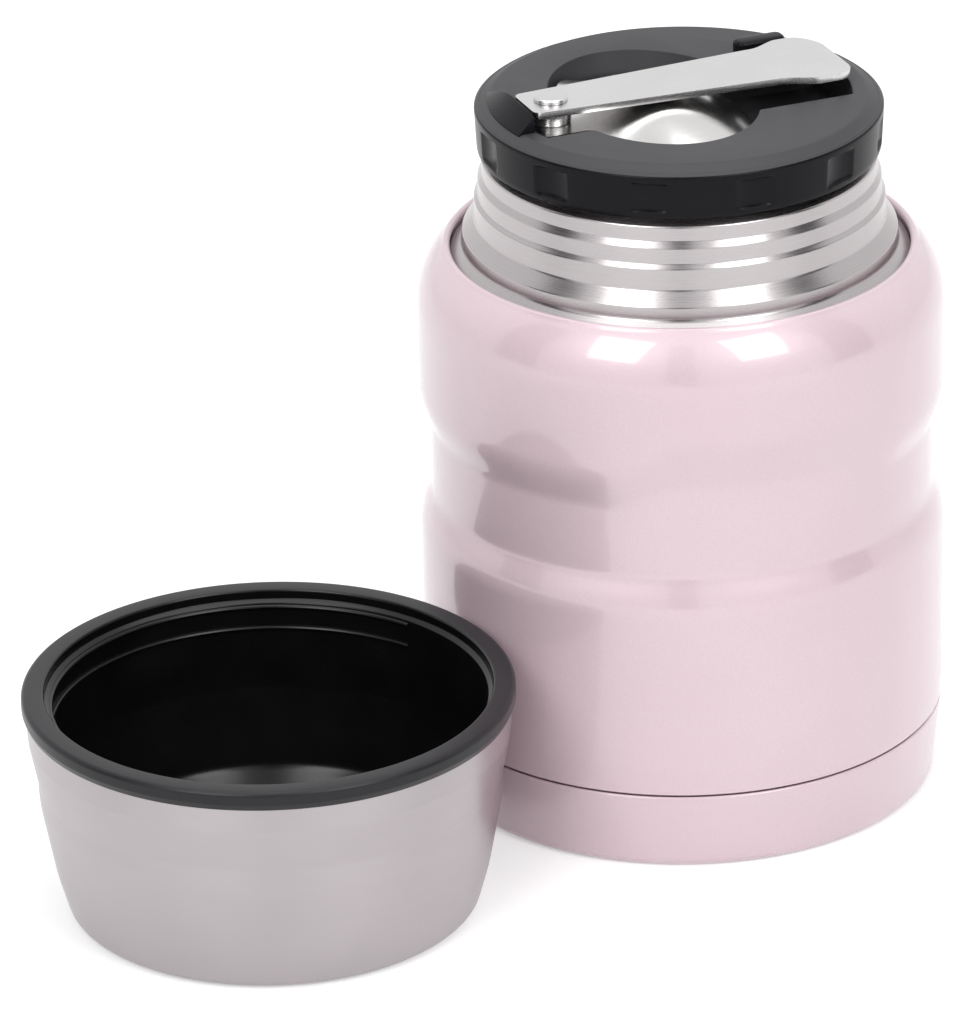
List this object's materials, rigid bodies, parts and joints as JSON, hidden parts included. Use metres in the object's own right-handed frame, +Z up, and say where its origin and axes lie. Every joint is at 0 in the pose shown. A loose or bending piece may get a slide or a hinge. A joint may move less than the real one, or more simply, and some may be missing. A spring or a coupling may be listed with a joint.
{
  "type": "insulated food jar",
  "caption": "Vacuum food jar with a screw stopper that holds a folding spoon, and an insulated cup that covers both, standing beside it.",
  "frame": {"origin": "on the jar's axis, in the plane that the jar and its cup stand on", "axes": "+Z up along the jar's axis; -Y to the side that the picture looks from, with the cup towards -X and -Y"},
  "size_m": [0.1629, 0.1452, 0.1335],
  "materials": {
    "painted_shell": "pearl pink baked enamel, glossy",
    "inner_steel": "plain drawn steel",
    "solder_glass": "dark solder glass bead",
    "bright_steel": "electropolished steel",
    "foil": "bright foil",
    "getter": "sintered grey pill",
    "neck_steel": "turned and brushed steel, fine rings",
    "stopper_plastic": "charcoal moulded plastic, matt deck and satin skirt",
    "plug_plastic": "black moulded plastic",
    "foam": "cream foam",
    "seal_rubber": "translucent grey silicone",
    "spoon_steel": "polished steel",
    "handle_steel": "brushed steel with rolled edge",
    "cup_steel": "satin steel, brushed round the cup",
    "liner_plastic": "black moulded plastic, glossy inside"
  },
  "bodies": {
    "jar": {"base_cap": "painted_shell", "outer_shell": "painted_shell", "outer_bottom": "inner_steel", "vacuum_seal_bead": "solder_glass", "inner_vessel": "bright_steel", "heat_shield_foil": "foil", "getter_pill": "getter", "neck_collar": "neck_steel"},
    "seal": {"stopper_seal": "seal_rubber"},
    "stopper": {"stopper_cap": "stopper_plastic", "stopper_plug": "plug_plastic", "stopper_insulation": "foam"},
    "spoon": {"spoon_bowl": "spoon_steel", "spoon_rivet": "spoon_steel", "spoon_washer": "spoon_steel"},
    "spoon_handle": {"spoon_handle": "handle_steel"},
    "cup": {"cup_shell": "cup_steel", "cup_liner": "liner_plastic"}
  },
  "joints": [
    {"name": "stopper_lift", "type": "slide", "parent": "jar", "child": "seal", "axis": [0, 0, 1], "range_m": [0, 0.036]},
    {"name": "stopper_turn", "type": "hinge", "parent": "seal", "child": "stopper", "pos_m": [0, 0, 0.12], "axis": [0, 0, 1], "range_deg": [0, 1080.5]},
    {"name": "spoon_lift", "type": "slide", "parent": "stopper", "child": "spoon", "axis": [0, 0, 1], "range_m": [0, 0.06]},
    {"name": "spoon_unfold", "type": "hinge", "parent": "spoon", "child": "spoon_handle", "pos_m": [-0.02245, -0.00981, 0.132], "axis": [0, 0, -1], "range_deg": [0, 180.1]},
    {"name": "cup_lift", "type": "slide", "parent": "jar", "child": "cup", "axis": [0, 0, 1], "range_m": [0, 0.12]}
  ],
  "couplings": [
    {"joint": "stopper_turn", "follows": "stopper_lift", "rad_per_m": 523.6},
    {"joint": "spoon_unfold", "follows": "spoon_lift", "rad_per_m": 52.36}
  ]
}
